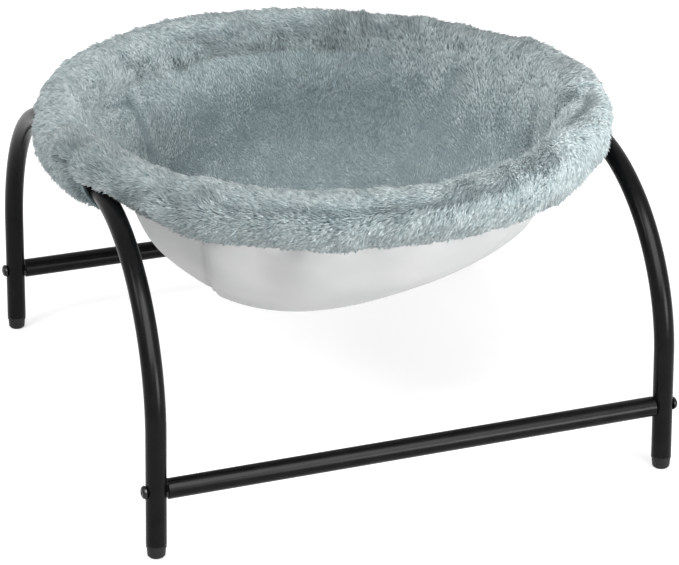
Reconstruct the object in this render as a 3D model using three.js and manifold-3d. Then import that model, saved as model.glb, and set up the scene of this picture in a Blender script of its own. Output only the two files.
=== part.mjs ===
// Pet hammock bed: two bent-tube arches, two crossbars and a rim ring that carries a plush bowl.
// Millimetres, +Z up, the photographed front faces -Y. The origin is on the floor amid the feet.
import * as THREE from "three";
import { mergeVertices } from "three/addons/utils/BufferGeometryUtils.js";
import Module from "manifold-3d";

const wasm = await Module();
wasm.setup();

// Gaps and overruns
const SEAT_GAP = 0.3; // between pieces that rest on or fit in each other
const OVERRUN = 6; // how far a cutter runs past what it cuts
const WELD = 0.001; // points this near are one point

// Frame tube of the arches and crossbars
const TUBE_D = 19;
const TUBE_WALL = 1.2;

// Plan and height of the frame
const LEG_SPAN_X = 495; // between the arches' leg axes, at the crossbars' height
const LEG_SPAN_Y = 515; // between the front and back leg axes
const BAR_Z = 65.5; // crossbar axis above the floor
const ARCH_TOP_Z = 283; // axis of an arch's level top
const ARCH_BEND_R = 164.5;
const ARCH_LEAN_DEG = 1.4; // each arch leans inward

// Foot caps
const FOOT_H = 12.5; // visible height under the tube
const FOOT_FLANGE_H = 2.4;
const FOOT_D = 18;
const FOOT_TOE_D = 16.6;
const FOOT_EDGE = 1.6;
const FOOT_FLOOR_T = 4;
const FOOT_LEVELLING = 1; // spare under the cap, cut off level with the floor
const PLUG_L = 18; // part of the cap inside the tube
const PLUG_WALL = 2;
const PLUG_BARBS = 2;
const PLUG_BARB_DEPTH = 0.8;

// Rim ring, two bent halves that plug into each other. It is as wide as its bolts on the arches ask.
const CROSSING_SPAN = 124; // between the two bolts that hold the ring on one arch
const RING_D = 16;
const RING_WALL = 1;
const SWAGE_L = 24; // length of the narrowed end
const SWAGE_WALL = 1.2;
const SWAGE_ROOT = 6; // solid length behind the narrowed end

// Socket-head bolts
const BOLT_D = 6;
const BOLT_HEAD_D = 12.5;
const BOLT_HEAD_H = 3.8;
const BOLT_RIM_H = 1;
const SOCKET_AF = 4; // hexagon across flats
const SOCKET_DEPTH = 2.2;
const DOME_SHARES = [0.9, 0.48]; // of the head's radius: where its dome is steepest and where flat
const BAR_BOLT_REACH = 20; // how far a bolt goes into the crossbar

// Threaded inserts of the crossbars and rivet nuts of the ring
const INSERT_L = 24;
const BAR_END_GAP = 0.6; // the crossbar's flat end to the leaning leg
const NUT_D = 8.6;
const NUT_L = 11;
const NUT_FLANGE_D = 11;
const NUT_FLANGE_T = 1;

// Plush rim that wraps the ring
const RIM_T = 10; // plush thickness
const RIM_GAP = 0.7; // its backing to the ring, whose facets are flatter than the plush
const RIM_REACH = 19; // its mid-line stands out this far from the ring's axis
const RIM_INNER = 27; // its inner edge lies this far inside the ring's axis
const RIM_INNER_DROP = 20;
const BAND_DROP = 50; // hem of the front and back bands below the ring's axis
const BAND_TUCK = 24; // and how far inside the ring's axis it lies
const HEM_DIP = 10; // largest dip or rise of the bands' hems
const CREST_PUFF = 5; // largest fullness of the plush over the ring
const BAND_END_SHARE = 0.3; // share of the drop that is left where an arch leaves the plush
const BAND_RISE_DEG = 26; // the hem comes down to its full drop over this angle
const FLAP_DROP = 42; // hem of the left and right flaps, outside the arches
const FLAP_TUCK = -8; // as for the bands; less than zero is outside the ring's axis
const FLAP_FLARE = 0.3; // how much wider a flap gets by its hem, as a share
const FLARE_FROM = 22; // and how far below the ring's axis it starts to widen
const SLIT_DEG = 0.5; // half of the slit between a flap and a band, at each arch

// Sewn bowl: an outer cloth shell and a plush lining
const BOWL_INSET = 24; // its edge lies this far inside the ring's axis
const BOWL_BOTTOM_Z = 116.5;
const SHELL_T = 2;
const LINING_T = 9;
const LAYER_GAP = 1.1; // between the shell and the lining
const BOWL_SLACK = 5.3; // the bowl's middle hangs to the right half way down
const BOWL_SAG = 36; // and to the left at its bottom
const BELLY = 11.5; // the cloth bellies out at the front right
const BELLY_DEG = -35;
const BELLY_WIDTH_DEG = 30;
const FOLD_DEPTH = 3;
const FOLDS = 6;
const DART_TIP = 107; // the bowl's left and right panels are darts that end this far out
const DART_DEG = 67; // half of a dart's angle in plan

// Smoothness
const TUBE_SIDES = 14;
const RING_SIDES = 10;
const BEND_STEPS = 11;
const RING_STEPS = 30;
const ROUND_STEPS = 12;
const DOME_STEPS = 4;
const RIM_STEPS = 10;
const BOWL_STEPS = 42;
const BOWL_LEVELS = 10;
const BAND_STEPS = 20;
const FLAP_STEPS = 6;

// Outlines as shares. The rim's mid-line runs from the bowl's edge, over the ring, to the hem.
const INNER_LEG_SHARES = [[-1, -1], [-1, -0.45]]; // of RIM_INNER and RIM_INNER_DROP
const CROWN_SHARES = [[-1, 0.42], [-0.55, 0.88], [0, 1], [0.62, 0.8], [0.95, 0.22]]; // of reach and rise
const BAND_LEG_SHARES = [[0.02, 0.2], [0.18, 0.5], [0.55, 0.8], [1, 1]]; // way in and way down
const FLAP_LEG_SHARES = [[0, 0.25], [0.1, 0.62], [1, 1]];
// Unevenness of the soft rim: an angle round it in degrees and the share of the largest value there.
const CREST_PUFF_SHARES = [
  [-166, 0.1], [-90, 0], [-52, 0.4], [-36, 1], [-28, 0.5], [-22, 0.4], [-15, 0.8], [-6, 1], [8, 0.5],
  [18, 0.4], [28, -0.6], [38, -0.6], [50, -0.4], [60, -0.6], [70, 0.15], [79, -0.2], [88, 0.5], [99, 0.4],
  [110, 1], [122, 0.6], [137, 0.8], [148, 0.1], [162, -0.6], [170, 0.1], [194, 0],
];
const HEM_DIP_SHARES = [
  [-76, 0.15], [-69, -0.4], [-62, -0.85], [-53, -0.3], [-47, 0.4], [-42, 0.15], [-36, -0.2], [-24, -0.2],
  [-16, 0.35], [-10, 0], [4, 0.1], [14, 0.5], [26, 0.35], [34, 0.65], [42, 0.9], [52, 0.8], [64, 0.65],
  [76, 0.5],
];
const BOWL_SHARES = [
  [1, 0], [0.928, 0.15], [0.863, 0.365], [0.758, 0.58], [0.54, 0.79], [0.338, 0.925], [0.15, 0.985], [0, 1],
]; // of the bowl's radius and depth
const FOLD_FADE_SHARE = 0.5; // folds fade out over this share of the depth, from the hem down
const BELLY_FADE_SHARE = 0.7;

// Steps along an arch: leg, bend, level top, bend, leg
const ARCH_RUNS = [1, BEND_STEPS, 1, BEND_STEPS, 1];
const ARCH_STEPS = ARCH_RUNS.reduce((sum, steps) => sum + steps);

// Derived sizes
const RAD = Math.PI / 180;
const LEAN = ARCH_LEAN_DEG * RAD;
const TUBE_R = TUBE_D / 2;
const BORE_R = TUBE_R - TUBE_WALL;
const RING_TUBE_R = RING_D / 2;
const RING_BORE_R = RING_TUBE_R - RING_WALL;
const RING_Z = ARCH_TOP_Z + TUBE_R + NUT_FLANGE_T + 2 * SEAT_GAP + RING_TUBE_R;
const BOLT_HOLE_R = BOLT_D / 2 + SEAT_GAP;
const ARCH_TOP_X = LEG_SPAN_X / 2 - Math.tan(LEAN) * (ARCH_TOP_Z - BAR_Z);
const CROSSING_Y = CROSSING_SPAN / 2;
const CROSSING_DEG = Math.atan2(CROSSING_Y, ARCH_TOP_X) / RAD; // ring over arch, from the X axis
const RING_R = Math.hypot(ARCH_TOP_X, CROSSING_Y);
const BOWL_R = RING_R - BOWL_INSET;
const RIM_RISE = RING_TUBE_R + RIM_GAP + RIM_T / 2;
const BOWL_TOP_Z = RING_Z - RIM_INNER_DROP - 2 * SEAT_GAP;

const black = { color: 0x1b1c1d, roughness: 0.42, metalness: 0.6 };
const paintedSteel = new THREE.MeshStandardMaterial(black);
const plastic = new THREE.MeshStandardMaterial({ color: 0x151515, roughness: 0.6, metalness: 0 });
const boltSteel = new THREE.MeshStandardMaterial({ color: 0x2a2a2b, roughness: 0.35, metalness: 0.9 });
const zincSteel = new THREE.MeshStandardMaterial({ color: 0xa9a9a4, roughness: 0.4, metalness: 0.9 });
const plush = new THREE.MeshStandardMaterial({ color: 0x9fb0b4, roughness: 1, metalness: 0 });
const cloth = new THREE.MeshStandardMaterial({ color: 0xdcdedd, roughness: 0.9, metalness: 0 });

// A line given by a function of the share along it, and sampled evenly in that share.
class Line extends THREE.Curve {
  constructor(at) {
    super();
    this.at = at;
  }
  getPoint(share) {
    return this.at(share);
  }
  getUtoTmapping(share) {
    return share;
  }
}

function solidOf(geometry) {
  const bare = geometry.index ? geometry.toNonIndexed() : geometry.clone();
  for (const name of ["normal", "uv"]) bare.deleteAttribute(name);
  const merged = mergeVertices(bare, WELD);
  return new wasm.Manifold(new wasm.Mesh({
    numProp: 3,
    vertProperties: merged.attributes.position.array,
    triVerts: new Uint32Array(merged.index.array),
  }));
}

function geometryOf(solid) {
  const mesh = solid.getMesh();
  const geometry = new THREE.BufferGeometry();
  geometry.setAttribute("position", new THREE.BufferAttribute(mesh.vertProperties, 3));
  geometry.setIndex(new THREE.BufferAttribute(mesh.triVerts, 1));
  geometry.computeVertexNormals();
  return geometry;
}

function cut(body, ...cutters) {
  const left = cutters.reduce((solid, cutter) => solid.subtract(solidOf(cutter)), solidOf(body));
  return geometryOf(left);
}

function join(...bodies) {
  return geometryOf(bodies.map(solidOf).reduce((all, next) => all.add(next)));
}

function piece(name, geometry, material, parent) {
  const mesh = new THREE.Mesh(geometry, material);
  mesh.name = name;
  parent.add(mesh);
  return mesh;
}

// A round bar along a line. A circle takes two points for each curve segment.
function rod(radius, line, steps, sides) {
  const section = new THREE.Shape().absarc(0, 0, radius, 0, 2 * Math.PI, false);
  return new THREE.ExtrudeGeometry(section, {
    steps, curveSegments: sides / 2, extrudePath: line, bevelEnabled: false,
  });
}

// Radius that fits in a faceted bore with the seat's gap.
function fitIn(boreR, sides) {
  return boreR * Math.cos(Math.PI / sides) - SEAT_GAP;
}

// A round pin along Z from one height to another.
function pin(radius, low, high, sides = ROUND_STEPS) {
  const geometry = new THREE.CylinderGeometry(radius, radius, high - low, sides);
  return geometry.rotateX(Math.PI / 2).translate(0, 0, (low + high) / 2);
}

function turned(points, steps = ROUND_STEPS) {
  const profile = points.map(([radius, height]) => new THREE.Vector2(radius, height));
  return new THREE.LatheGeometry(profile, steps).rotateX(Math.PI / 2);
}

// Arch tube, in the arch's own plane: Y across, Z up, with Z zero at the crossbars' height.
function archLine(extra) {
  const half = LEG_SPAN_Y / 2;
  const bottom = FOOT_H + SEAT_GAP - BAR_Z - extra;
  const top = ARCH_TOP_Z - BAR_Z;
  const bendZ = top - ARCH_BEND_R;
  const bendY = half - ARCH_BEND_R;
  const line = (y0, z0, y1, z1) =>
    new THREE.LineCurve(new THREE.Vector2(y0, z0), new THREE.Vector2(y1, z1));
  const bend = (y, from, to) =>
    new THREE.EllipseCurve(y, bendZ, ARCH_BEND_R, ARCH_BEND_R, from, to, true);
  const runs = [
    line(-half, bottom, -half, bendZ),
    bend(-bendY, Math.PI, Math.PI / 2),
    line(-bendY, top, bendY, top),
    bend(bendY, Math.PI / 2, 0),
    line(half, bendZ, half, bottom),
  ];
  return new Line((share) => {
    let step = share * ARCH_STEPS;
    let run = 0;
    while (run < runs.length - 1 && step > ARCH_RUNS[run]) {
      step -= ARCH_RUNS[run];
      run += 1;
    }
    const point = runs[run].getPoint(step / ARCH_RUNS[run]);
    return new THREE.Vector3(0, point.x, point.y);
  });
}

function archPlace(side) {
  const place = new THREE.Object3D();
  place.position.set((side * LEG_SPAN_X) / 2, 0, BAR_Z);
  place.rotation.y = -side * LEAN;
  place.updateMatrix();
  return place.matrix;
}

// Cutters for one side, in the part's frame: bolt holes through the legs and under the ring.
function archHoles(side) {
  const holes = [];
  for (const end of [-1, 1]) {
    const cross = pin(BOLT_HOLE_R, -TUBE_D, TUBE_D).rotateY(Math.PI / 2);
    holes.push(cross.translate((side * LEG_SPAN_X) / 2, (end * LEG_SPAN_Y) / 2, BAR_Z));
    holes.push(pin(BOLT_HOLE_R, ARCH_TOP_Z - TUBE_D, ARCH_TOP_Z + TUBE_D)
      .translate(side * ARCH_TOP_X, end * CROSSING_Y, 0));
  }
  return holes;
}

function archTube(side) {
  const toArch = archPlace(side).invert();
  const holes = archHoles(side).map((hole) => hole.applyMatrix4(toArch));
  const outer = rod(TUBE_R, archLine(0), ARCH_STEPS, TUBE_SIDES);
  const bore = rod(BORE_R, archLine(OVERRUN), ARCH_STEPS, TUBE_SIDES);
  return cut(outer, bore, ...holes);
}

// Foot cap in the arch's plane: barbed plug in the tube, flange, tapered foot cut level at the floor.
function footCap(side) {
  const barbR = fitIn(BORE_R, TUBE_SIDES);
  const plugR = barbR - PLUG_BARB_DEPTH;
  const top = FOOT_H + PLUG_L;
  const pitch = PLUG_L / (PLUG_BARBS + 1);
  const barbs = [];
  for (let i = 1; i <= PLUG_BARBS; i += 1) {
    const z = FOOT_H + i * pitch;
    barbs.push([plugR, z - pitch / 2], [barbR, z - pitch / 2], [plugR, z]);
  }
  const cap = turned([
    [0, -FOOT_LEVELLING],
    [FOOT_TOE_D / 2 - FOOT_EDGE, -FOOT_LEVELLING],
    [FOOT_TOE_D / 2 - FOOT_EDGE, 0],
    [FOOT_TOE_D / 2, FOOT_EDGE],
    [FOOT_D / 2, FOOT_H - FOOT_FLANGE_H],
    [TUBE_R, FOOT_H - FOOT_FLANGE_H],
    [TUBE_R, FOOT_H],
    [plugR, FOOT_H],
    ...barbs,
    [plugR, top],
    [plugR - PLUG_WALL, top],
    [plugR - PLUG_WALL, FOOT_FLOOR_T],
    [0, FOOT_FLOOR_T],
  ]).translate(0, 0, -BAR_Z);
  const place = archPlace(side);
  const floor = new THREE.BoxGeometry(LEG_SPAN_X, LEG_SPAN_Y, BAR_Z).translate(0, 0, -BAR_Z / 2);
  floor.translate((side * LEG_SPAN_X) / 2, 0, 0).applyMatrix4(place.invert());
  return cut(cap, floor);
}

// Button-head bolt along Z: the head sits on top of z = 0 and the shank points down.
function bolt(length) {
  const headR = BOLT_HEAD_D / 2;
  const dome = new THREE.QuadraticBezierCurve(
    new THREE.Vector2(headR, BOLT_RIM_H),
    new THREE.Vector2(headR * DOME_SHARES[0], BOLT_HEAD_H),
    new THREE.Vector2(headR * DOME_SHARES[1], BOLT_HEAD_H),
  ).getPoints(DOME_STEPS).map((point) => [point.x, point.y]);
  const body = turned([
    [0, -length],
    [BOLT_D / 2 - BOLT_RIM_H, -length],
    [BOLT_D / 2, -length + BOLT_RIM_H],
    [BOLT_D / 2, 0],
    [headR, 0],
    ...dome,
    [0, BOLT_HEAD_H],
  ]);
  const hexagonR = SOCKET_AF / Math.sqrt(3);
  return cut(body, pin(hexagonR, BOLT_HEAD_H - SOCKET_DEPTH, BOLT_HEAD_H + OVERRUN, 6));
}

function crossbarTube() {
  const half = LEG_SPAN_X / 2 - TUBE_R - BAR_END_GAP;
  const bar = pin(TUBE_R, -half, half, TUBE_SIDES);
  return cut(bar, pin(BORE_R, -half - OVERRUN, half + OVERRUN, TUBE_SIDES)).rotateY(Math.PI / 2);
}

// Threaded insert pressed into a crossbar's end.
function crossbarInsert() {
  const radius = fitIn(BORE_R, TUBE_SIDES);
  const body = pin(radius, -INSERT_L / 2, INSERT_L / 2);
  return cut(body, pin(BOLT_HOLE_R, -INSERT_L, INSERT_L)).rotateY(Math.PI / 2);
}

// Rivet nut: flange under the ring's tube and a bored body that reaches into it.
function rivetNut() {
  const body = join(pin(NUT_FLANGE_D / 2, 0, NUT_FLANGE_T), pin(NUT_D / 2, 0, NUT_FLANGE_T + NUT_L));
  return cut(body, pin(BOLT_HOLE_R, -OVERRUN, NUT_L + OVERRUN));
}

function ringLine(fromDeg, toDeg) {
  return new Line((share) => {
    const angle = (fromDeg + (toDeg - fromDeg) * share) * RAD;
    return new THREE.Vector3(RING_R * Math.cos(angle), RING_R * Math.sin(angle), 0);
  });
}

// One half of the ring, from the right (0 degrees) to the left. Its narrowed end follows the first
// facet of the other half, which it plugs into.
function ringHalf() {
  const gapDeg = SEAT_GAP / RING_R / RAD;
  const solidEndDeg = SWAGE_ROOT / RING_R / RAD;
  const wide = rod(RING_TUBE_R, ringLine(0, 180 - gapDeg), RING_STEPS, RING_SIDES);
  const bore = rod(RING_BORE_R, ringLine(-solidEndDeg, 180 - solidEndDeg), RING_STEPS, RING_SIDES);
  const joint = ringLine(180, 180 + 180 / RING_STEPS);
  const along = joint.getPoint(1).sub(joint.getPoint(0)).normalize();
  const straight = (from, to) => new THREE.LineCurve3(
    joint.getPoint(0).addScaledVector(along, from),
    joint.getPoint(0).addScaledVector(along, to),
  );
  const swageR = fitIn(RING_BORE_R, RING_SIDES);
  const swage = rod(swageR, straight(-SWAGE_ROOT / 2, SWAGE_L), 1, RING_SIDES);
  const neck = rod(swageR - SWAGE_WALL, straight(-SWAGE_ROOT - OVERRUN, SWAGE_L + OVERRUN), 1, RING_SIDES);
  const holes = [CROSSING_DEG, 180 - CROSSING_DEG].map((angle) =>
    pin(NUT_D / 2 + SEAT_GAP, -RING_D, 0)
      .translate(RING_R * Math.cos(angle * RAD), RING_R * Math.sin(angle * RAD), 0));
  return cut(join(cut(wide, bore), swage), neck, ...holes);
}

// Value of a table of [place, value] rows at any place, straight between the rows.
function lookUp(rows, place) {
  const next = Math.max(rows.findIndex(([at]) => at >= place), 1);
  const [[from, first], [to, last]] = rows.slice(next - 1, next + 1);
  return first + (last - first) * ((place - from) / (to - from));
}

// The two faces of a layer about a smooth mid-line, as one closed outline that runs anticlockwise.
function layerOutline(midPoints, thickness, steps, puff = 0) {
  const mid = new THREE.SplineCurve(midPoints.map(([x, y]) => new THREE.Vector2(x, y)));
  const outer = [];
  const inner = [];
  for (let i = 0; i <= steps; i += 1) {
    const point = mid.getPoint(i / steps);
    const along = mid.getTangent(i / steps);
    const normal = new THREE.Vector2(-along.y, along.x);
    const fullness = puff * Math.sin((Math.PI * i) / steps);
    outer.push(point.clone().addScaledVector(normal, thickness / 2 + fullness));
    inner.unshift(point.clone().addScaledVector(normal, -thickness / 2));
  }
  return [...outer, ...inner].reverse();
}

// Section of the rim plush, measured from the ring's axis: outward and up.
function rimOutline(legShares, drop, tuck, puff) {
  const mid = [
    ...INNER_LEG_SHARES.map(([out, up]) => [out * RIM_INNER, up * RIM_INNER_DROP]),
    ...CROWN_SHARES.map(([out, up]) => [out * RIM_REACH, up * RIM_RISE]),
    ...legShares.map(([way, down]) => [RIM_REACH - way * (RIM_REACH + tuck), -down * drop]),
  ];
  return layerOutline(mid, RIM_T, RIM_STEPS, puff);
}

// Solid through equal-sized outlines that stand round the ring, at an angle that height may change.
function rimLoft(outlines, angleAt) {
  const count = outlines[0].length;
  const positions = [];
  outlines.forEach((outline, i) => {
    for (const { x, y } of outline) {
      const radius = RING_R + x;
      const angle = angleAt(i, y) * RAD;
      positions.push(radius * Math.cos(angle), radius * Math.sin(angle), RING_Z + y);
    }
  });
  const faces = [];
  for (let i = 0; i < outlines.length - 1; i += 1) {
    for (let j = 0; j < count; j += 1) {
      const a = i * count + j;
      const b = i * count + ((j + 1) % count);
      faces.push(a, b + count, b, a, a + count, b + count);
    }
  }
  const last = (outlines.length - 1) * count;
  for (let j = 0; j < count / 2 - 1; j += 1) {
    const [a, b, c, d] = [j, j + 1, count - 2 - j, count - 1 - j];
    faces.push(a, b, c, a, c, d);
    faces.push(last + a, last + c, last + b, last + a, last + d, last + c);
  }
  const geometry = new THREE.BufferGeometry();
  geometry.setAttribute("position", new THREE.Float32BufferAttribute(positions, 3));
  geometry.setIndex(faces);
  return geometry;
}

// Room for the arches in the plush that lies over them.
function archRoom(side) {
  const room = rod(TUBE_R + 2 * SEAT_GAP, archLine(0), ARCH_STEPS, TUBE_SIDES);
  return room.applyMatrix4(archPlace(side));
}

// One piece of the rim, fuller at some angles, and by its hem wider than over the ring by a share.
function rimSolid(middleDeg, halfDeg, steps, flare, outlineAt) {
  const outlines = [];
  for (let i = 0; i <= steps; i += 1) {
    const offsetDeg = ((2 * i) / steps - 1) * halfDeg;
    const puff = CREST_PUFF * lookUp(CREST_PUFF_SHARES, middleDeg + offsetDeg);
    outlines.push(outlineAt(offsetDeg, puff));
  }
  const angleAt = (i, up) => {
    const fallen = THREE.MathUtils.clamp((-up - FLARE_FROM) / (FLAP_DROP - FLARE_FROM), 0, 1);
    return middleDeg + ((2 * i) / steps - 1) * halfDeg * (1 + flare * fallen);
  };
  return cut(rimLoft(outlines, angleAt), archRoom(-1), archRoom(1));
}

// Front or back band: its hem rises towards the slits, where the arches come out.
function rimBand(middleDeg) {
  const half = 90 - CROSSING_DEG - SLIT_DEG;
  return rimSolid(middleDeg, half, BAND_STEPS, 0, (offsetDeg, puff) => {
    const fromSlit = Math.min((half - Math.abs(offsetDeg)) / BAND_RISE_DEG, 1);
    const share = BAND_END_SHARE + (1 - BAND_END_SHARE) * THREE.MathUtils.smoothstep(fromSlit, 0, 1);
    const drop = BAND_DROP * share + HEM_DIP * lookUp(HEM_DIP_SHARES, offsetDeg);
    return rimOutline(BAND_LEG_SHARES, drop, -RIM_REACH + (RIM_REACH + BAND_TUCK) * share, puff);
  });
}

// Left or right flap: hangs straight down outside the arch.
function rimFlap(middleDeg) {
  const half = CROSSING_DEG - SLIT_DEG;
  return rimSolid(middleDeg, half, FLAP_STEPS, FLAP_FLARE, (offsetDeg, puff) =>
    rimOutline(FLAP_LEG_SHARES, FLAP_DROP, FLAP_TUCK, puff));
}

// Sideways place of the bowl at a share of its depth: slack half way down, sag at the bottom.
function bowlDrift(down) {
  const slack = 4 * down * (1 - down);
  const sag = down * (2 * down - 1);
  return slack * BOWL_SLACK - sag * BOWL_SAG;
}

// How far folds and the belly move the cloth outward, at a share of the depth and an angle.
function bowlRelief(down, angle) {
  const over = (share) => Math.sin(Math.PI * THREE.MathUtils.clamp(down / share, 0, 1));
  const beside = (angle / RAD - BELLY_DEG) / BELLY_WIDTH_DEG;
  const fold = FOLD_DEPTH * over(FOLD_FADE_SHARE) * Math.cos(FOLDS * angle);
  return fold + BELLY * over(BELLY_FADE_SHARE) * Math.exp(-(beside ** 2));
}

// A layer of the sewn bowl between two insets from its outer face. Each level of a layer moves and
// folds with the same level of that face, so the layers stay nested.
function bowlLayer(outerInset, innerInset) {
  const depth = BOWL_TOP_Z - BOWL_BOTTOM_Z;
  const face = new THREE.SplineCurve(
    BOWL_SHARES.map(([out, down]) => new THREE.Vector2(out * BOWL_R, -down * depth)),
  );
  const profile = [];
  const downs = [];
  const add = (level, inset) => {
    const point = face.getPoint(level / BOWL_LEVELS);
    const along = face.getTangent(level / BOWL_LEVELS);
    const out = level === BOWL_LEVELS ? 0 : point.x + along.y * inset;
    profile.push([out, level === 0 ? 0 : point.y - along.x * inset]);
    downs.push(-point.y / depth);
  };
  for (let level = BOWL_LEVELS; level >= 0; level -= 1) add(level, outerInset);
  for (let level = 0; level <= BOWL_LEVELS; level += 1) add(level, innerInset);
  const layer = turned(profile, BOWL_STEPS);
  const places = layer.attributes.position;
  for (let i = 0; i < places.count; i += 1) {
    const down = downs[i % downs.length];
    const angle = Math.atan2(places.getY(i), places.getX(i));
    const relief = bowlRelief(down, angle);
    places.setX(i, places.getX(i) + relief * Math.cos(angle) + bowlDrift(down));
    places.setY(i, places.getY(i) + relief * Math.sin(angle));
    places.setZ(i, places.getZ(i) + BOWL_TOP_Z);
  }
  return layer;
}

// The part of a bowl layer inside an outline seen from above. The outline is moved clear of its
// neighbours by half the seat's gap one way, or by the whole gap the other way.
function bowlPanel(layer, corners, [toX, toY]) {
  const plan = new THREE.Shape(corners.map(([x, y]) => new THREE.Vector2(x, y)));
  const prism = new THREE.ExtrudeGeometry(plan, { depth: RING_Z, bevelEnabled: false });
  prism.translate(toX * SEAT_GAP, (toY * SEAT_GAP) / 2, 0);
  return geometryOf(solidOf(layer).intersect(solidOf(prism)));
}

const bed = new THREE.Group();
const sides = [["left", -1], ["right", 1]];
const ends = [["front", -1], ["back", 1]];

// Arches with their foot caps
for (const [sideName, side] of sides) {
  const arch = new THREE.Group();
  arch.position.set((side * LEG_SPAN_X) / 2, 0, BAR_Z);
  arch.rotation.y = -side * LEAN;
  bed.add(arch);
  piece(`${sideName}_arch`, archTube(side), paintedSteel, arch);
  for (const [endName, end] of ends) {
    const cap = piece(`foot_cap_${endName}_${sideName}`, footCap(side), plastic, arch);
    cap.position.y = (end * LEG_SPAN_Y) / 2;
  }
}

// Crossbars with their inserts and bolts
for (const [endName, end] of ends) {
  const level = new THREE.Group();
  level.position.set(0, (end * LEG_SPAN_Y) / 2, BAR_Z);
  bed.add(level);
  piece(`${endName}_crossbar`, crossbarTube(), paintedSteel, level);
  for (const [sideName, side] of sides) {
    const barEnd = LEG_SPAN_X / 2 - TUBE_R - BAR_END_GAP;
    const insert = piece(`crossbar_insert_${endName}_${sideName}`, crossbarInsert(), plastic, level);
    insert.position.x = side * (barEnd - INSERT_L / 2);
    const seat = LEG_SPAN_X / 2 + TUBE_R + SEAT_GAP;
    const length = seat - barEnd + BAR_BOLT_REACH;
    const screw = piece(`crossbar_bolt_${endName}_${sideName}`, bolt(length), boltSteel, level);
    screw.position.x = side * seat;
    screw.rotation.y = (side * Math.PI) / 2;
  }
}

// Rim ring with its rivet nuts and bolts
for (const [endName, end] of ends) {
  const half = piece(`ring_${endName}_half`, ringHalf(), paintedSteel, bed);
  half.position.z = RING_Z;
  half.rotation.z = end > 0 ? 0 : Math.PI;
  for (const [sideName, side] of sides) {
    const crossing = new THREE.Group();
    crossing.position.set(side * ARCH_TOP_X, end * CROSSING_Y, 0);
    bed.add(crossing);
    const nut = piece(`ring_rivet_nut_${endName}_${sideName}`, rivetNut(), zincSteel, crossing);
    nut.position.z = ARCH_TOP_Z + TUBE_R + SEAT_GAP;
    const seat = ARCH_TOP_Z - TUBE_R - SEAT_GAP;
    const length = RING_Z - seat;
    const screw = piece(`ring_bolt_${endName}_${sideName}`, bolt(length), boltSteel, crossing);
    screw.position.z = seat;
    screw.rotation.x = Math.PI;
  }
}

// Soft parts
piece("plush_rim_front", rimBand(-90), plush, bed);
piece("plush_rim_back", rimBand(90), plush, bed);
piece("plush_rim_left", rimFlap(180), plush, bed);
piece("plush_rim_right", rimFlap(0), plush, bed);
const shell = bowlLayer(0, SHELL_T);
const lining = bowlLayer(SHELL_T + LAYER_GAP, SHELL_T + LAYER_GAP + LINING_T);
const wide = (RING_R - DART_TIP) * Math.tan(DART_DEG * RAD);
for (const [panelName, end] of ends) {
  const inner = [[end * DART_TIP, 0], [-end * DART_TIP, 0]];
  const outer = [[-end * RING_R, end * wide], [end * RING_R, end * wide]];
  piece(`shell_panel_${panelName}`, bowlPanel(shell, [...inner, ...outer], [0, end]), cloth, bed);
  piece(`lining_panel_${panelName}`, bowlPanel(lining, [...inner, ...outer], [0, end]), plush, bed);
}
for (const [panelName, side] of sides) {
  const dart = [[side * DART_TIP, 0], [side * RING_R, -side * wide], [side * RING_R, side * wide]];
  piece(`shell_panel_${panelName}`, bowlPanel(shell, dart, [side, 0]), cloth, bed);
  piece(`lining_panel_${panelName}`, bowlPanel(lining, dart, [side, 0]), plush, bed);
}

export default bed;
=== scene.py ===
"""Pet hammock bed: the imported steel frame, dressed with plush, a sewn cloth bowl and materials.

Metres, +Z up, the photographed front faces -Y. Angles round the ring run from +X towards +Y.
"""
import math

import bmesh
import bpy
import numpy as np
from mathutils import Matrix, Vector


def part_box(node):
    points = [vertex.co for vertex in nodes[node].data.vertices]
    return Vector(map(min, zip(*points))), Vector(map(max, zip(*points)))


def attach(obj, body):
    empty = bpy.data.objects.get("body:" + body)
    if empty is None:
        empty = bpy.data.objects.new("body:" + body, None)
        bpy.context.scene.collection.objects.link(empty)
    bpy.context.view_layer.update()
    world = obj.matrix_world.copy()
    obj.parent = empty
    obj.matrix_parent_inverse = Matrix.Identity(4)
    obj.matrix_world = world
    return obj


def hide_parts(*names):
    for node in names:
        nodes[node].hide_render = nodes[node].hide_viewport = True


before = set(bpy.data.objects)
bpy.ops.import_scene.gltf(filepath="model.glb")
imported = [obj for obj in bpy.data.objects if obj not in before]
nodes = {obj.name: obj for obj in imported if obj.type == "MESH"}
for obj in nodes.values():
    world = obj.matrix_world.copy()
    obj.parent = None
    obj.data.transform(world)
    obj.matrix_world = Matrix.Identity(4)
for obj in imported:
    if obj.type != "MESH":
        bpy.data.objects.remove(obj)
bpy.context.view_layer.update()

MM = 0.001
NO_LENGTH, NO_WIDTH, NO_ANGLE = 1e-12, 1e-9, 1e-6  # small enough to count as none

# Frame sizes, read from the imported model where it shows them
tube_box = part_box("front_crossbar")
ring_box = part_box("ring_front_half")
arch_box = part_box("left_arch")
TUBE_R = (tube_box[1].y - tube_box[0].y) / 2
TUBE_WALL = 1.2 * MM
BAR_Z = (tube_box[1].z + tube_box[0].z) / 2
LEG_SPAN_X = 495 * MM
LEG_SPAN_Y = arch_box[1].y - arch_box[0].y - 2 * TUBE_R
ARCH_TOP_Z = arch_box[1].z - TUBE_R
ARCH_FOOT_Z = arch_box[0].z
ARCH_BEND_R = 164.5 * MM
ARCH_LEAN = math.radians(1.4)
RING_Z = (ring_box[1].z + ring_box[0].z) / 2
BOWL_TOP_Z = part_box("shell_panel_left")[1].z
BOWL_BOTTOM_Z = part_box("shell_panel_front")[0].z
BOWL_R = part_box("shell_panel_back")[1].y
BOWL_INSET = 24 * MM
RING_R = BOWL_R + BOWL_INSET
CROSSING_Y = 62 * MM  # where the ring crosses an arch
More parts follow.
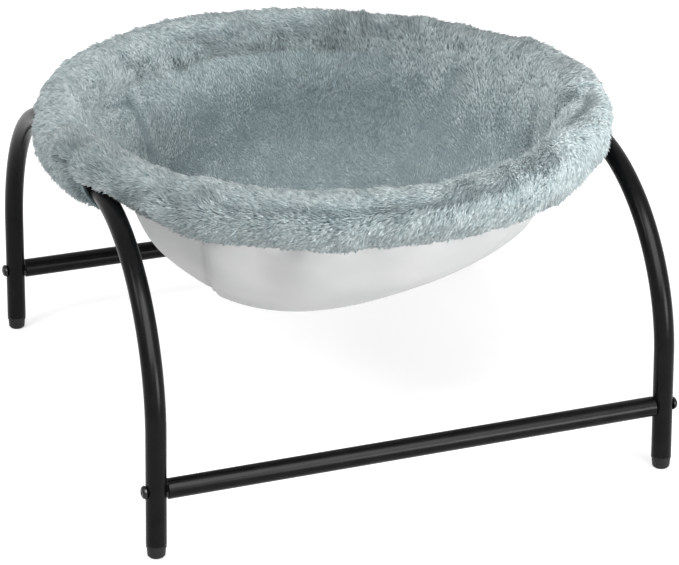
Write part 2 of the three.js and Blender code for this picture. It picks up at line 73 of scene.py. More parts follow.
CROSSING = math.atan2(CROSSING_Y, LEG_SPAN_X / 2 - math.tan(ARCH_LEAN) * (ARCH_TOP_Z - BAR_Z))

# Smoothness of the arches and edges
ARCH_SIDES = 32
ARCH_BEND_STEPS = 40
SHARP_TUBE_EDGE = math.radians(40)
SHARP_NODE_EDGE = math.radians(38)
NODE_WELD = 0.01 * MM
MESH_WELD = 0.02 * MM

# Plush rim, measured outward and up from the ring's axis
RIM_REACH = 19 * MM
RIM_RISE = 13.7 * MM
RIM_INNER = 27 * MM
RIM_INNER_DROP = 22 * MM
BAND_DROP = 50 * MM
BAND_TUCK = 24 * MM
BAND_END_SHARE = 0.3  # share of the drop that is left where an arch leaves the plush
BAND_RISE = math.radians(26)
FLAP_DROP = 42 * MM
FLAP_TUCK = -8 * MM
FLAP_FLARE = 0.4  # how much wider a flap is at its hem, behind the legs of an arch
FLARE_POWER = 0.6
SLIT = math.radians(0.2)
SLIT_CLOSED, SLIT_OPENS = 0.25, 0.15  # shares of the section: no slit up to there, and its opening
SKIN_OUT = 0.5 * MM  # the pile grows from here, outside the rim's mid-line
SKIN_IN = 5 * MM
HEM_LIFT = 6 * MM  # the pile hangs this far below the skin's own hem
HEM_ROUND = 0.1  # share of the section over which a hem is rounded
END_ROUND = (1.5 * MM, 5 * MM)  # rounding of a piece's ends by the slits: inside the ring and outside
END_ROUND_FROM, END_ROUND_FADE = 0.2, 0.3
INNER_LEG_SHARES = [(-1, -1), (-1, -0.45)]
CROWN_SHARES = [(-1, 0.42), (-0.55, 0.88), (0, 1), (0.62, 0.8), (0.95, 0.22)]
BAND_LEG_SHARES = [(0.02, 0.2), (0.18, 0.5), (0.55, 0.8), (1, 1)]
FLAP_LEG_SHARES = [(0, 0.25), (0.1, 0.62), (1, 1)]
RIM_STEPS = 40
BAND_ROWS, FLAP_ROWS = 170, 34
RIM_LENGTH = 110 * MM  # along a section

# Unevenness of the rim: an angle in degrees and the share of the largest value there
CREST_PUFF = 5 * MM
CREST_PUFF_SHARES = [
    (-165.6, 1), (-161, 0.7), (-152, 0.1), (-90, 0), (-52, 0.4), (-36, 1), (-28, 0.5), (-22, 0.4),
    (-15, 0.8), (-6, 1), (8, 0.5), (18, 0.4), (28, -0.8), (38, -0.8), (50, -0.4), (60, -0.8), (70, 0.15),
    (79, -0.2), (88, 0.5), (99, 0.4), (110, 1), (122, 0.6), (137, 0.8), (148, 0.1), (162, -0.6),
    (170, 0.1), (194.4, 0),
]
CREST_SINK = 3.6 * MM  # how far the crest lies down on the ring at its flattest
CREST_SINK_SHARES = [
    (-166, -0.5), (-152, -0.5), (-142, 0), (-125, 0.4), (-100, 0.8), (-90, 0.5), (-84, 1), (-30, 1),
    (-14, 0.8), (0, 0.6), (14, 0.3), (30, 0), (194, 0),
]
CREST_SINK_END, CREST_SINK_FADE = 0.62, 0.2  # shares of the section
DEEPEST_SINK = CREST_SINK + 0.3 * MM
HEM_DIP = 10 * MM
HEM_DIP_SHARES = [
    (-76, 0.15), (-69, -0.5), (-62, -0.9), (-53, -0.3), (-47, 0.4), (-42, 0.15), (-36, -0.2), (-24, -0.2),
    (-16, 0.35), (-10, 0), (4, 0.1), (14, 0.5), (26, 0.35), (34, 0.65), (42, 0.9), (52, 0.8), (64, 0.65),
    (76, 0.5),
]
# Noise on the rim: seed, wavelength and height
RIM_NOISE = [(11, 75 * MM, 0.8 * MM), (12, 26 * MM, 0.6 * MM)]
# Creases: angle and share of the section at both ends, width and depth
RIM_CREASES = [
    (-19, 0.43, -38, 0.33, 5.5 * MM, 4 * MM), (194.4, 0.36, 194.4, 1, 9 * MM, 6 * MM),
    (191, 0.42, 186, 0.5, 3 * MM, 2 * MM), (14.4, 0.1, 14.4, 1, 4 * MM, 2.5 * MM),
    (165.6, 0.3, 165.6, 1, 4 * MM, 2.5 * MM),
]

# Sewn bowl. Its lining lies inside the shell, whose outer face has no inset.
BOWL_SHARES = [
    (1, 0), (0.928, 0.15), (0.863, 0.365), (0.758, 0.58), (0.54, 0.79), (0.338, 0.925), (0.15, 0.985), (0, 1),
]
SHELL_T = 1.6 * MM
LINING_INSET = 3.2 * MM
LINING_SKIN = 5.2 * MM
BOWL_SLACK = 5.3 * MM
BOWL_SAG = 36 * MM
BELLY = 11.5 * MM
BELLY_DEG = -35
BELLY_WIDTH_DEG = 30
BELLY_FADE_SHARE = 0.7
FOLD_DEPTH = 3.3 * MM
FOLD_FADE_SHARE = 0.8
SMOOTH_MIDDLE_R = 20 * MM  # folds fade out this near the bowl's middle
# Soft folds of the cloth: middle and width in degrees, and share of FOLD_DEPTH outward
FOLDS = [
    (-160, 7, -0.8), (-142, 7, 0.9), (-128, 7, -1.2), (-114, 8, 1.2), (-99, 8, -0.8), (-84, 8, 0.6),
    (-68, 6, 0.3), (-28, 9, -0.6), (0, 12, 0.6), (22, 9, -0.8), (45, 9, 0.9), (66, 8, -0.9),
    (90, 10, 0.8), (113, 8, -0.9), (135, 9, 0.8), (160, 8, -0.8),
]
# Dents of the cloth under the hem: middle, width and depth
HEM_DENTS = [
    (-143, 3, 4 * MM), (-121, 4, 6.5 * MM), (-102, 4, 6.5 * MM), (-80, 4, 4 * MM), (-60, 3, 4 * MM),
]
DENT_PLACE, DENT_FADE = 0.23, 0.07  # shares down the bowl
# Creases of the shell and of the lining, as those of the rim, with shares down the bowl. A depth of
# less than zero is a ridge.
SHELL_CREASES = [(-62, 0.5, -48, 0.17, 4 * MM, -2.2 * MM), (-56, 0.52, -46, 0.26, 7 * MM, 2.5 * MM)]
LINING_CREASES = [
    (148, 0.02, 136, 0.08, 4 * MM, 2.5 * MM), (136, 0.06, 142, 0.34, 7 * MM, 3.7 * MM),
    (142, 0.34, 150, 0.55, 9 * MM, 3.2 * MM), (30, 0.05, 38, 0.4, 8 * MM, 1.6 * MM),
]
UNROLLED_R, UNROLLED_FALL = 200 * MM, 230 * MM
DART_TIP = 107 * MM  # the side panels of the bowl are darts that end this far out
DART_SLOPE = 1 / math.tan(math.radians(67))
SEAM_DIP = 1.8 * MM
SEAM_WIDTH = 4 * MM
SEAM_RIDGE = 1.5 * MM
SEAM_RIDGE_WIDTH = 1.1 * MM
SEAM_STEP = 2.2 * MM  # the side panels lie this much deeper beside the seams
SEAM_STEP_WIDTH = 22 * MM
SEAM_SWELL = 2.2 * MM  # and the front and back swell this much beyond them
SEAM_SWELL_WIDTH = 28 * MM
PANEL_COLUMNS = 90
DOWN_STEPS = 400
LONG_PANEL_SKIP = 4  # the front and back panels have every fourth of these steps
DART_ROWS = 70
# What each shell panel was cut from, width and length
SHELL_CUTS = {"front": (0.39, 0.315), "back": (0.39, 0.315), "left": (0.325, 0.2), "right": (0.325, 0.2)}

# Pile of the plush
PILE_LENGTH = 8.5 * MM
PILE_LENGTH_NOISE, PILE_LENGTH_CLUMPS = 0.12, 0.06
PILE_LENGTH_RANGE = (0.55, 1.35)
PILE_WIDTH = 0.85 * MM
PILE_WIDTH_RANGE = (0.8, 1.2)
PILE_SPACING = 1.25 * MM
PILE_SINK = 1 * MM
PILE_BOW = 0.13  # how far a lock bows out, as a share of its length
PILE_LIFT = 0.48  # how steeply the pile stands, and how much less on top of the crest
PILE_LIFT_DROP = 0.28
CREST_FROM, CREST_FADE = 0.3, 0.5  # the crest is where normals point up this much
PILE_STRAY = 0.14  # how far single locks stray from their neighbours
CLUMP = 7 * MM  # how wide the clumps are that the pile gathers in
CLUMP_PULL = 0.22
WHIRL, WHIRL_TURN = 60 * MM, 0.3  # how wide the whirls of the combing are, and how far they turn it
PATCH = 28 * MM  # how wide the lighter and darker patches are
TINT_MIDDLE, TINT_NOISE, TINT_PATCHES, TINT_CLUMPS = 0.5, 0.33, 0.10, 0.06
LINING_LENGTH = 6.5 * MM
LINING_SPACING = 1.65 * MM
LINING_SOFTNESS = 0.4
# Out and up from the lining's edge, where its pile runs on over the rim's inner hem
COLLAR = [(4.5 * MM, 10.5 * MM), (4 * MM, 7 * MM), (2.5 * MM, 3.5 * MM)]
# Which way the pile is combed, by the hems and on the crest: degrees from straight down, less than
# zero towards smaller angles round the ring
COMB_LOW = [(-166, -75), (-135, -62), (-90, -60), (-60, -38), (-20, -40), (30, 20), (150, 30), (180, 20)]
COMB_HIGH = [
    (-166, -90), (-140, -105), (-110, -92), (-90, -75), (-55, -48), (-20, -42), (90, 60), (180, 30),
]
COMB_LOW_Z, COMB_HIGH_Z = 245 * MM, 318 * MM

# Wear of the pile, and painted shade: the share that makes locks shorter also paints them darker
WORN_SHORTER = 0.6
# How much darker the pile is painted at full share: painted shade in creases, by the slits and down in the
# bowl, and darker pile along the hems
PAINTED_SHADE_DARKER = 0.7
WORN_AND_SHADED_CREASE = 5 * MM  # the pile is fully worn, and painted in full shade, in a crease this deep
# The pile is fully worn, and painted in full shade, in a crease of the lining this deep
WORN_AND_SHADED_LINING_CREASE = 4 * MM
HEM_SHORT_AND_DARK = 0.4  # how much shorter and darker the pile is along the hems
HEM_SHORT_AND_DARK_FROM, HEM_SHORT_AND_DARK_FADE = 0.88, 0.1  # shares of the section
SLIT_WEAR_AND_SHADE = 0.45  # wear, and painted shade, at the ends of the rim's pieces, by the slits
SLIT_WEAR_AND_SHADE_WIDTH = 8 * MM
SLIT_WEAR_AND_SHADE_FROM, SLIT_WEAR_AND_SHADE_FADE = 0.3, 0.2
DEEP_WEAR_AND_SHADE = 0.45  # wear, and painted shade, down in the bowl
DEEP_WEAR_AND_SHADE_TOP_Z = 285 * MM
DEEP_WEAR_AND_SHADE_DEPTH = 60 * MM

# Colours
# The roots are painted dark: painted shade deep among the locks
PILE_ROOT_SHADE = (0.11, 0.155, 0.17)
PILE_TIP_DARK = (0.38, 0.47, 0.49)
PILE_TIP_PALE = (0.82, 0.91, 0.92)
ROOT_FADE = (0.05, 0.75)  # shares along a lock between which the root's painted shade gives way to the tip's colour

# Studio
CAMERA_PLACE = (-0.825, -2.314, 1.218)
CAMERA_DOWN_DEG, CAMERA_TURN_DEG = 24.07, -20.03
CAMERA_LENS, CAMERA_SENSOR = 145.1, 36
CAMERA_REACH = 50
# Place, width and height, and power of each lamp
LAMPS = {
    "front": ((1.1, -2.6, 0.35), (1.0, 1.0), 64),
    "left": ((-2.2, -0.8, 2.1), (0.9, 0.9), 27),
    "high": ((0.1, -1.5, 2.5), (0.8, 0.8), 14),
    "card": ((-0.1, -2.3, 2.1), (3.0, 2.2), 230),
}
MIRRORED_ONLY = "card"  # this lamp is only there to mirror in the paint
LAMP_TARGET = (0, 0, 0.2)
WORLD_LIT, WORLD_SEEN = 0.62, 1.0
WHITE = (1, 1, 1, 1)
FLOOR_R, FLOOR_SIDES = 7.0, 96
FLOOR_COLOUR = (0.86, 0.86, 0.86, 1)
FLOOR_GLOW = 0.48


# Curves and noise

WAVE_COUNT = 28
WAVE_RANGE = (0.65, 1.5)  # wave numbers, as shares of the one asked for
SWELL_WIDER = 3  # how much wider than a crease its swell is


def spline(points, shares):
    """Uniform Catmull-Rom through points, whose last axis but one runs along the curve."""
    points = np.asarray(points, float)
    count = points.shape[-2]
    place = np.clip(np.asarray(shares, float), 0, 1) * (count - 1)
    first = np.minimum(place.astype(int), count - 2)
    t = (place - first)[:, None]
    a = points[..., np.maximum(first - 1, 0), :]
    b = points[..., first, :]
    c = points[..., first + 1, :]
    d = points[..., np.minimum(first + 2, count - 1), :]
    v0, v1 = (c - a) / 2, (d - b) / 2
    return (2 * b - 2 * c + v0 + v1) * t**3 + (-3 * b + 3 * c - 2 * v0 - v1) * t**2 + v0 * t + b


class Waves:
    """Smooth seeded noise of about unit size, made of cosine waves, with its slope."""

    def __init__(self, seed, wavelength):
        random = np.random.default_rng(seed)
        way = random.normal(size=(WAVE_COUNT, 3))
        way /= np.linalg.norm(way, axis=1)[:, None]
        self.k = way * (2 * math.pi / wavelength) * random.uniform(*WAVE_RANGE, (WAVE_COUNT, 1))
        self.phase = random.uniform(0, 2 * math.pi, WAVE_COUNT)
        self.size = math.sqrt(2 / WAVE_COUNT)

    def value(self, points):
        return np.cos(points @ self.k.T + self.phase).sum(-1) * self.size

    def slope(self, points):
        return -(np.sin(points @ self.k.T + self.phase) @ self.k) * self.size


def unit(vectors):
    """The vectors at length 1."""
    return vectors / np.maximum(np.linalg.norm(vectors, axis=-1, keepdims=True), NO_LENGTH)


def smoothstep(x):
    """Smooth rise from 0 to 1, where x runs from 0 to 1."""
    x = np.clip(x, 0, 1)
    return x * x * (3 - 2 * x)


def bell(x):
    """Bell curve of height 1."""
    return np.exp(-x**2)


def wrapped(degrees):
    """The same angles between -180 and 180 degrees."""
    return (degrees + 180) % 360 - 180


def look_up(rows, places):
    """Value at each place in a table of (place, value) rows, straight between the rows."""
    return np.interp(places, *np.array(rows).T)


def creases(rows, across, down, wide, long, swell=0):
    """Depth of the creases at places on a skin that is unrolled with these two scales.

    Swell is how far the padding rises beside a crease, as a share of the crease's depth.
    """
    depth = 0
    at = np.stack(np.broadcast_arrays(np.radians(across) * wide, down * long), -1)
    for angle_a, down_a, angle_b, down_b, width, deep in rows:
        start = np.array([math.radians(angle_a) * wide, down_a * long])
        run = np.array([math.radians(angle_b) * wide, down_b * long]) - start
        way = np.clip(((at - start) @ run) / (run @ run), 0, 1)[..., None]
        away = np.sum((at - start - way * run) ** 2, -1) / width**2
        depth = depth + deep * ((1 + swell) * np.exp(-away) - swell * np.exp(-away / SWELL_WIDER**2))
    return depth


# Meshes


def mesh_object(name, positions, faces):
    """A smooth object in the scene, from points and faces."""
    mesh = bpy.data.meshes.new(name)
    mesh.from_pydata([tuple(p) for p in positions], [], faces)
    mesh.validate()
    mesh.update()
    mesh.polygons.foreach_set("use_smooth", [True] * len(mesh.polygons))
    made = bpy.data.objects.new(name, mesh)
    bpy.context.scene.collection.objects.link(made)
    return made


def weld(obj):
    """Joins points that lie on each other, and turns all faces outward."""
    work = bmesh.new()
    work.from_mesh(obj.data)
    bmesh.ops.remove_doubles(work, verts=work.verts, dist=MESH_WELD)
    bmesh.ops.dissolve_degenerate(work, edges=work.edges, dist=MESH_WELD / 2)
    bmesh.ops.recalc_face_normals(work, faces=work.faces)
    work.to_mesh(obj.data)
    work.free()
    return obj


def loop_faces(rows, columns, close_rows, close_columns):
    """Quads of a grid of points, rows by columns."""
    faces = []
    for i in range(rows if close_rows else rows - 1):
        for j in range(columns if close_columns else columns - 1):
            a, b = i * columns + j, i * columns + (j + 1) % columns
            c, d = ((i + 1) % rows) * columns + (j + 1) % columns, ((i + 1) % rows) * columns + j
            faces.append((a, b, c, d))
    return faces


# Materials


def material(name, roughness, metallic=0.0, specular=0.5):
    """A new material, with its node tree and shader."""
    made = bpy.data.materials.new(name)
    made.use_nodes = True
    shader = made.node_tree.nodes["Principled BSDF"]
    shader.inputs["Roughness"].default_value = roughness
    shader.inputs["Metallic"].default_value = metallic
    shader.inputs["Specular IOR Level"].default_value = specular
    return made, made.node_tree, shader


def add_node(tree, kind, **settings):
    """A new node. A setting goes to the input of its name if there is one."""
    node = tree.nodes.new(kind)
    for key, value in settings.items():
        if key in node.inputs:
            node.inputs[key].default_value = value
        else:
            setattr(node, key, value)
    return node


def ramp(tree, stops, factor):
    """Colour that runs through (place, colour) stops with a factor."""
    node = tree.nodes.new("ShaderNodeValToRGB")
    for element, (place, colour) in zip(node.color_ramp.elements, stops):
        element.position = place
        element.color = (*colour, 1)
    tree.links.new(factor, node.inputs["Fac"])
    return node.outputs["Color"]


def object_noise(tree, scale, detail=3.0, roughness=0.5):
    """Noise over an object's own coordinates, with its scale in waves per metre."""
    place = tree.nodes.new("ShaderNodeTexCoord")
    noise = add_node(tree, "ShaderNodeTexNoise", Scale=scale, Detail=detail, Roughness=roughness)
    tree.links.new(place.outputs["Object"], noise.inputs["Vector"])
    return noise.outputs["Fac"]


def bump(tree, shader, height, strength, distance):
    """Raises a shader's surface by a height of 0 to 1."""
    node = add_node(tree, "ShaderNodeBump", Strength=strength, Distance=distance)
    tree.links.new(height, node.inputs["Height"])
    tree.links.new(node.outputs["Normal"], shader.inputs["Normal"])


def grained(name, shine, noise, colours, relief):
    """A material whose colour and surface follow one noise.

    Shine is its roughness, metallic and specular level, noise the scale, detail and roughness,
    colours the two stops of its ramp, and relief the strength and depth of the bump.
    """
    made, tree, shader = material(name, *shine)
    grain = object_noise(tree, *noise)
    tree.links.new(ramp(tree, colours, grain), shader.inputs["Base Color"])
    bump(tree, shader, grain, *relief)
    return made


def powder_coat():
    """Satin paint with a fine orange peel."""
    made, tree, shader = material("black_powder_coat", 0.4, specular=0.085)
    mottle = object_noise(tree, 60, 4)
    colours = [(0.3, (0.003, 0.003, 0.0032)), (0.7, (0.006, 0.006, 0.0063))]
    tree.links.new(ramp(tree, colours, mottle), shader.inputs["Base Color"])
    peel = object_noise(tree, 900, 2, 0.6)
    tree.links.new(ramp(tree, [(0.3, (0.22,) * 3), (0.7, (0.28,) * 3)], peel), shader.inputs["Roughness"])
    bump(tree, shader, peel, 0.25, 0.2 * MM)
    return made


def moulded_plastic():
    colours = [(0.3, (0.005, 0.005, 0.005)), (0.7, (0.011, 0.011, 0.0115))]
    return grained("foot_plastic", (0.5, 0, 0.2), (1400, 2), colours, (0.3, 0.15 * MM))


def black_oxide():
    colours = [(0.35, (0.010, 0.010, 0.0105)), (0.75, (0.03, 0.03, 0.031))]
    return grained("black_bolt_steel", (0.22, 0.7), (500, 4), colours, (0.2, 0.1 * MM))


def shade_darkened_zinc():
    # The zinc is painted nearly black: painted shade on the rivet nut, down in the slit
    colours = [(0.3, (0.02, 0.02, 0.021)), (0.7, (0.05, 0.05, 0.052))]
    return grained("zinc_in_painted_shade", (0.3, 1.0), (300, 5), colours, (0.2, 0.1 * MM))


def plush_backing():
    colours = [(0.3, (0.20, 0.26, 0.28)), (0.7, (0.36, 0.43, 0.45))]
    return grained("plush_underfur", (0.9, 0, 0.15), (380, 4, 0.6), colours, (0.8, 1.5 * MM))


def plush_pile():
    """Colour by two values of each lock: how far along it, and its own tint. Its roots are painted dark, as
    painted shade deep in the pile.
    """
    made, tree, shader = material("plush_pile", 0.75, specular=0.12)
    shader.inputs["Sheen Weight"].default_value = 0.25
    shader.inputs["Sheen Roughness"].default_value = 0.5
    along = add_node(tree, "ShaderNodeAttribute", attribute_name="along")
    tint = add_node(tree, "ShaderNodeAttribute", attribute_name="tint")
    tips = ramp(tree, [(0.0, PILE_TIP_DARK), (1.0, PILE_TIP_PALE)], tint.outputs["Fac"])
    mix = add_node(tree, "ShaderNodeMix", data_type="RGBA")
    fade = add_node(tree, "ShaderNodeMapRange")
    fade.inputs["From Min"].default_value, fade.inputs["From Max"].default_value = ROOT_FADE
    tree.links.new(along.outputs["Fac"], fade.inputs["Value"])
    tree.links.new(fade.outputs["Result"], mix.inputs["Factor"])
    mix.inputs["A"].default_value = (*PILE_ROOT_SHADE, 1)
    tree.links.new(tips, mix.inputs["B"])
    tree.links.new(mix.outputs["Result"], shader.inputs["Base Color"])
    return made


def bowl_cloth():
    """Woven cloth: two waves that cross make the weave."""
    made, tree, shader = material("pale_cloth", 0.85, specular=0.1)
    shader.inputs["Sheen Weight"].default_value = 0.15
    place = tree.nodes.new("ShaderNodeTexCoord")
    weave = add_node(tree, "ShaderNodeMath", operation="MULTIPLY")
    for socket, way in zip(weave.inputs, "ZX"):
        wave = add_node(tree, "ShaderNodeTexWave", Scale=420, bands_direction=way)
        tree.links.new(place.outputs["Object"], wave.inputs["Vector"])
        tree.links.new(wave.outputs["Fac"], socket)
    colours = [(0.3, (0.50, 0.51, 0.51)), (0.7, (0.555, 0.56, 0.555))]
    tree.links.new(ramp(tree, colours, object_noise(tree, 14, 3)), shader.inputs["Base Color"])
    bump(tree, shader, weave.outputs["Value"], 0.15, 0.2 * MM)
    return made


MATERIALS = {
    "frame_paint": powder_coat(),
    "foot_plastic": moulded_plastic(),
    "insert_plastic": moulded_plastic(),
    "bolt_steel": black_oxide(),
    "zinc_steel": shade_darkened_zinc(),
    "grey_plush": plush_backing(),
    "pale_cloth": bowl_cloth(),
}
PILE = plush_pile()


# Pieces


def dress_node(node):
    """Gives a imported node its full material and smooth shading, with its points left as they are."""
    slot_name = node.data.materials[0].name.split(".")[0]
    node.data.materials[0] = MATERIALS[slot_name]
    node.modifiers.new("join_split_points", "WELD").merge_threshold = NODE_WELD
    node.modifiers.new("crisp_edges", "EDGE_SPLIT").split_angle = SHARP_NODE_EDGE
    node.data.attributes.remove(node.data.attributes["custom_normal"])
    node.data.polygons.foreach_set("use_smooth", [True] * len(node.data.polygons))


def dress_piece(piece, slot_name, cad_name):
    """Gives a new piece its material, hides the imported part that it stands for, and attaches it to the root
    body.
    """
    piece.data.materials.append(MATERIALS[slot_name])
    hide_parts(cad_name)
    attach(piece, "root")


for packed in nodes.values():
    dress_node(packed)


# Smooth arches


def arch_path(side):
    """Points along the tube of an arch, from its front foot to its back one."""
    half = LEG_SPAN_Y / 2
    bend_z = ARCH_TOP_Z - ARCH_BEND_R
    bend_y = half - ARCH_BEND_R
    flat = [(-half, ARCH_FOOT_Z), (-half, BAR_Z), (-half, bend_z)]
    for angle in np.linspace(math.pi, math.pi / 2, ARCH_BEND_STEPS)[1:]:
        flat.append((-bend_y + ARCH_BEND_R * math.cos(angle), bend_z + ARCH_BEND_R * math.sin(angle)))
    flat += [(0, ARCH_TOP_Z)]
    flat = np.array(flat + [(-y, z) for y, z in flat[-2::-1]])
    up = flat[:, 1] - BAR_Z
    x = side * (LEG_SPAN_X / 2 - up * math.sin(ARCH_LEAN))
    return np.stack([x, flat[:, 0], BAR_Z + up * math.cos(ARCH_LEAN)], 1)


def swept(path, radius, axis):
    """Rings of points round a path that stays in the plane square to axis."""
    along = unit(np.gradient(path, axis=0))
    out = unit(np.cross(along, axis))
    side = unit(np.cross(out, along))
    angles = np.arange(ARCH_SIDES) * 2 * math.pi / ARCH_SIDES
    ring = out[:, None] * np.cos(angles)[None, :, None] + side[:, None] * np.sin(angles)[None, :, None]
    return path[:, None] + radius * ring


def smooth_arch(side_name, side):
    """One arch as a hollow tube: up its outside and back down its bore."""
    path = arch_path(side)
    axis = np.array([math.cos(ARCH_LEAN), 0, side * math.sin(ARCH_LEAN)])
    rings = np.concatenate([swept(path, TUBE_R, axis), swept(path, TUBE_R - TUBE_WALL, axis)[::-1]])
    faces = loop_faces(len(rings), ARCH_SIDES, True, True)
    arch = weld(mesh_object(f"{side_name}_arch_tube", rings.reshape(-1, 3), faces))
    arch.data.set_sharp_from_angle(angle=SHARP_TUBE_EDGE)
    dress_piece(arch, "frame_paint", f"{side_name}_arch")


smooth_arch("left", -1)
smooth_arch("right", 1)


# Pile


class Skin:
    """A grid of points that pile grows from, with normals and the way the pile is combed.

    A share at each point says how worn and shaded the pile is: such pile is short, and painted dark as
    painted shade, as in creases and slits.
    """

    def __init__(self, grid, wear_and_shade):
        self.grid = grid
        self.wear_and_shade = wear_and_shade[..., None]
        down_rows = np.gradient(grid, axis=0)
        down_columns = np.gradient(grid, axis=1)
        self.normal = unit(np.cross(down_columns, down_rows))
        self.comb = unit(down_columns)

    def scatter(self, spacing, random):
        """Even random places on the grid: point, normal, combing, and wear and painted shade of each."""
        g = self.grid
        edge_a, edge_b = g[1:, :-1] - g[:-1, :-1], g[:-1, 1:] - g[:-1, :-1]
        area = np.linalg.norm(np.cross(edge_a, edge_b), axis=-1)
        ends = np.cumsum(area.ravel())
        count = int(ends[-1] / spacing**2)
        places = (np.arange(count) + random.random(count)) * ends[-1] / count
        cell = np.minimum(np.searchsorted(ends, places), area.size - 1)
        row, column = np.divmod(cell, area.shape[1])
        # Two irrational steps spread the places evenly within the cells
        u, v = ((np.arange(count) * step + random.random(count) * 0.25) % 1
                for step in (0.7548776662, 0.5698402910))
        u, v = u[:, None], v[:, None]
        found = []
        for field in (g, self.normal, self.comb, self.wear_and_shade):
            low = field[row, column] * (1 - u) + field[row + 1, column] * u
            high = field[row, column + 1] * (1 - u) + field[row + 1, column + 1] * u
            found.append(low * (1 - v) + high * v)
        return found[0], unit(found[1]), unit(found[2]), found[3]


# A lock of pile: three corners round its root, as shares of its width up and aside, one half way along
# and its tip
LOCK_ROOT = [(0.45, 0), (-0.3, 0.5), (-0.3, -0.5)]
LOCK_FACES = np.array([[0, 2, 1], [0, 1, 3], [0, 3, 2], [3, 1, 4], [3, 4, 2], [1, 2, 4]])
LOCK_ALONG = np.array([0, 0, 0, 0.5, 1])
LOCK_CORNERS = len(LOCK_ALONG)
# Where the locks' corners lie on the map: tint across it, root to tip up it
MAP_SPREAD = np.array([0, 2, 1, 0.5, 1]) / 300
MAP_STEPS = np.array([0, 0.004, 0.008])
MAP_ACROSS, MAP_UP = (0.02, 0.95), (0.01, 0.97)


def lock_map(tint, soft):
    """Places of the locks' corners on the map."""
    along = soft + (1 - soft) * LOCK_ALONG[LOCK_FACES]
    u = MAP_ACROSS[0] + MAP_ACROSS[1] * tint[:, None, None] + MAP_SPREAD[LOCK_FACES]
    v = np.broadcast_to(MAP_UP[0] + MAP_UP[1] * along, u.shape) + MAP_STEPS
    return np.stack([u, v], -1)


def lock_mesh(name, points, tint, soft):
    """Closed locks as one mesh, with the two values of their colour and their places on the map."""
    count = len(points)
    loops = (np.arange(count)[:, None, None] * LOCK_CORNERS + LOCK_FACES).ravel()
    mesh = bpy.data.meshes.new(name)
    mesh.vertices.add(count * LOCK_CORNERS)
    mesh.vertices.foreach_set("co", points.astype(np.float32).ravel())
    mesh.loops.add(len(loops))
    mesh.loops.foreach_set("vertex_index", loops.astype(np.int32))
    mesh.polygons.add(len(loops) // 3)
    mesh.polygons.foreach_set("loop_start", np.arange(0, len(loops), 3, dtype=np.int32))
    mesh.update(calc_edges=True)
    mesh.polygons.foreach_set("use_smooth", np.ones(len(loops) // 3, bool))
    along = soft + (1 - soft) * np.tile(LOCK_ALONG, count)
    for key, values in (("tint", np.repeat(tint, LOCK_CORNERS)), ("along", along)):
        mesh.attributes.new(key, "FLOAT", "POINT").data.foreach_set("value", values.astype(np.float32))
    places = lock_map(tint, soft).astype(np.float32)
    mesh.uv_layers.new(name="OFBake").uv.foreach_set("vector", places.ravel())
    mesh.materials.append(PILE)
    return mesh


def combed(root, normal, comb):
    """Which way the pile lies at each root, along the skin."""
    place = np.degrees(np.arctan2(root[:, 1], root[:, 0]))
    low, high = look_up(COMB_LOW, place), look_up(COMB_HIGH, place)
    raised = smoothstep((root[:, 2] - COMB_LOW_Z) / (COMB_HIGH_Z - COMB_LOW_Z))
    turn = np.radians(low + (high - low) * raised) + WHIRL_TURN * Waves(2, WHIRL).value(root)
    across = np.cross(normal, comb)
    return comb * np.cos(turn)[:, None] + across * np.sin(turn)[:, None]


def lock_points(root, normal, grow, lengths, wide):
    """Corners of a bowed lock at each root."""
    side = unit(np.cross(grow, normal) + NO_WIDTH)
    up = np.cross(side, grow)
    points = np.empty((len(root), LOCK_CORNERS, 3))
    for corner, (rise, aside) in enumerate(LOCK_ROOT):
        points[:, corner] = root + (up * rise + side * aside) * wide - normal * PILE_SINK
    points[:, 3] = root + grow * lengths * 0.5 + up * lengths * PILE_BOW
    points[:, 4] = root + grow * lengths
    return points


def grow_pile(name, skin, seed, soft=0.0, length=PILE_LENGTH, spacing=PILE_SPACING):
    """One closed, bowed lock of plush at each place of a skin. Soft pile shows less of the painted shade at
    its roots.
    """
    random = np.random.default_rng(seed)
    root, normal, comb, wear_and_shade = skin.scatter(spacing, random)
    count = len(root)
    clump, patch = Waves(1, CLUMP), Waves(3, PATCH)
    pull = clump.slope(root) * CLUMP / (2 * math.pi)
    pull -= normal * (pull * normal).sum(1)[:, None]
    lean = combed(root, normal, comb) + pull * CLUMP_PULL + random.normal(size=(count, 3)) * PILE_STRAY
    grown = 1 + PILE_LENGTH_NOISE * random.normal(size=count) + PILE_LENGTH_CLUMPS * clump.value(root)
    lengths = length * np.clip(grown, *PILE_LENGTH_RANGE)[:, None] * (1 - WORN_SHORTER * wear_and_shade)
    lift = PILE_LIFT - PILE_LIFT_DROP * smoothstep((normal[:, 2:] - CREST_FROM) / CREST_FADE)
    wide = PILE_WIDTH * random.uniform(*PILE_WIDTH_RANGE, count)[:, None]
    points = lock_points(root, normal, unit(normal * lift + lean), lengths, wide)
    # Worn and shaded pile is painted darker: painted shade in creases, by the slits and down in the bowl, and
    # darker pile along the hems
    tint = TINT_MIDDLE - PAINTED_SHADE_DARKER * wear_and_shade[:, 0] + TINT_NOISE * random.normal(size=count)
    tint += TINT_PATCHES * patch.value(root) - TINT_CLUMPS * clump.value(root)
    pile = bpy.data.objects.new(name, lock_mesh(name, points, np.clip(tint, 0, 1), soft))
    bpy.context.scene.collection.objects.link(pile)
    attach(pile, "root")


# Plush rim


